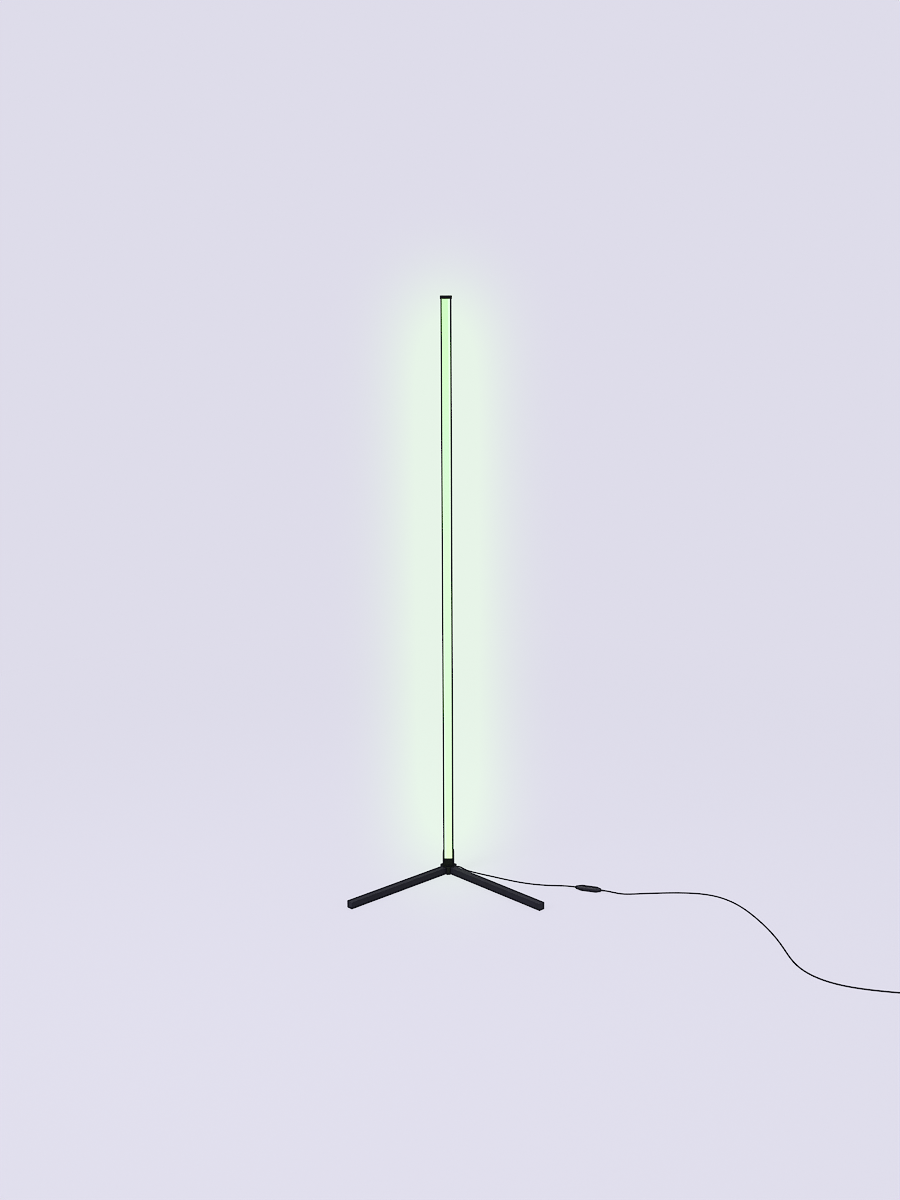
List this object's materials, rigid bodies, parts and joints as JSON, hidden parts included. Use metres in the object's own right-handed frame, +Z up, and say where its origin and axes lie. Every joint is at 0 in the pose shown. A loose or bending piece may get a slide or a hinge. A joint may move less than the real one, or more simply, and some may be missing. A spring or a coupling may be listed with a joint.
{
  "type": "corner floor lamp",
  "caption": "Slim black corner floor lamp: a tall channel with a lit diffuser down its front, on a V of square bar legs, with a USB lead and an in-line push-button controller.",
  "frame": {"origin": "on the floor, under the middle of the pole, where the hub's pad rests", "axes": "+Z up along the pole, -Y towards the room (the lit side), the legs run out at 45 degrees to each side of -Y, +X to the cord's side"},
  "size_m": [1.2529, 0.7588, 1.42],
  "materials": {
    "pole_black": "black anodised, satin",
    "bare_aluminium": "mill finish",
    "screw_black": "black zinc",
    "screw_zinc": "bright zinc",
    "cap_plastic": "fine moulded texture",
    "diffuser_silicone": "translucent silicone, lit pale green",
    "board_white": "white solder mask",
    "led_package": "white body with clear lens",
    "lead_wire": "insulated wire",
    "hub_black": "black powder coat on a zinc casting",
    "plate_steel": "zinc plated",
    "pad_rubber": "matte",
    "leg_black": "black powder coat on solid steel bar",
    "cord_jacket": "satin black jacket",
    "sleeve_black": "shrunk sleeve",
    "case_black": "fine moulded texture",
    "board_green": "green solder mask",
    "chip_black": "moulded epoxy",
    "switch_black": "moulded",
    "button_rubber": "soft matte",
    "plug_metal": "nickel plated",
    "plug_plastic": "moulded",
    "contact_gold": "gold flash"
  },
  "bodies": {
    "lamp": {"channel_1": "pole_black", "channel_2": "pole_black", "channel_3": "pole_black", "channel_4": "pole_black", "splice_bar_1": "bare_aluminium", "splice_bar_2": "bare_aluminium", "splice_bar_3": "bare_aluminium", "foot_bar": "bare_aluminium", "splice_screws": "screw_black", "cap_screws": "screw_black", "foot_screws": "screw_black", "leg_screws": "screw_zinc", "top_cap": "cap_plastic", "diffuser": "diffuser_silicone", "led_strip": "board_white", "led_packages": "led_package", "strip_leads": "lead_wire", "base_hub": "hub_black", "base_plate": "plate_steel", "hub_pad": "pad_rubber", "leg_pads": "pad_rubber", "leg_left": "leg_black", "leg_right": "leg_black", "strain_relief": "cord_jacket", "joint_sleeve": "sleeve_black", "controller_base": "case_black", "controller_cover": "case_black", "controller_board": "board_green", "controller_chip": "chip_black", "push_switches": "switch_black", "controller_relief_in": "cord_jacket", "controller_relief_out": "cord_jacket", "controller_leads": "lead_wire", "lamp_cord": "cord_jacket", "supply_cord": "cord_jacket", "plug_tail": "cord_jacket", "cord_coil": "cord_jacket", "plug_body": "cord_jacket", "plug_shell": "plug_metal", "plug_insulator": "plug_plastic", "plug_contacts": "contact_gold"},
    "button_power": {"button_power": "button_rubber"},
    "button_colour": {"button_colour": "button_rubber"},
    "button_brightness": {"button_brightness": "button_rubber"}
  },
  "joints": [
    {"name": "button_power_press", "type": "slide", "parent": "lamp", "child": "button_power", "axis": [0, 0, -1], "range_m": [0, 0.0005], "stiffness_N_per_m": 400},
    {"name": "button_colour_press", "type": "slide", "parent": "lamp", "child": "button_colour", "axis": [0, 0, -1], "range_m": [0, 0.0005], "stiffness_N_per_m": 400},
    {"name": "button_brightness_press", "type": "slide", "parent": "lamp", "child": "button_brightness", "axis": [0, 0, -1], "range_m": [0, 0.0005], "stiffness_N_per_m": 400}
  ]
}
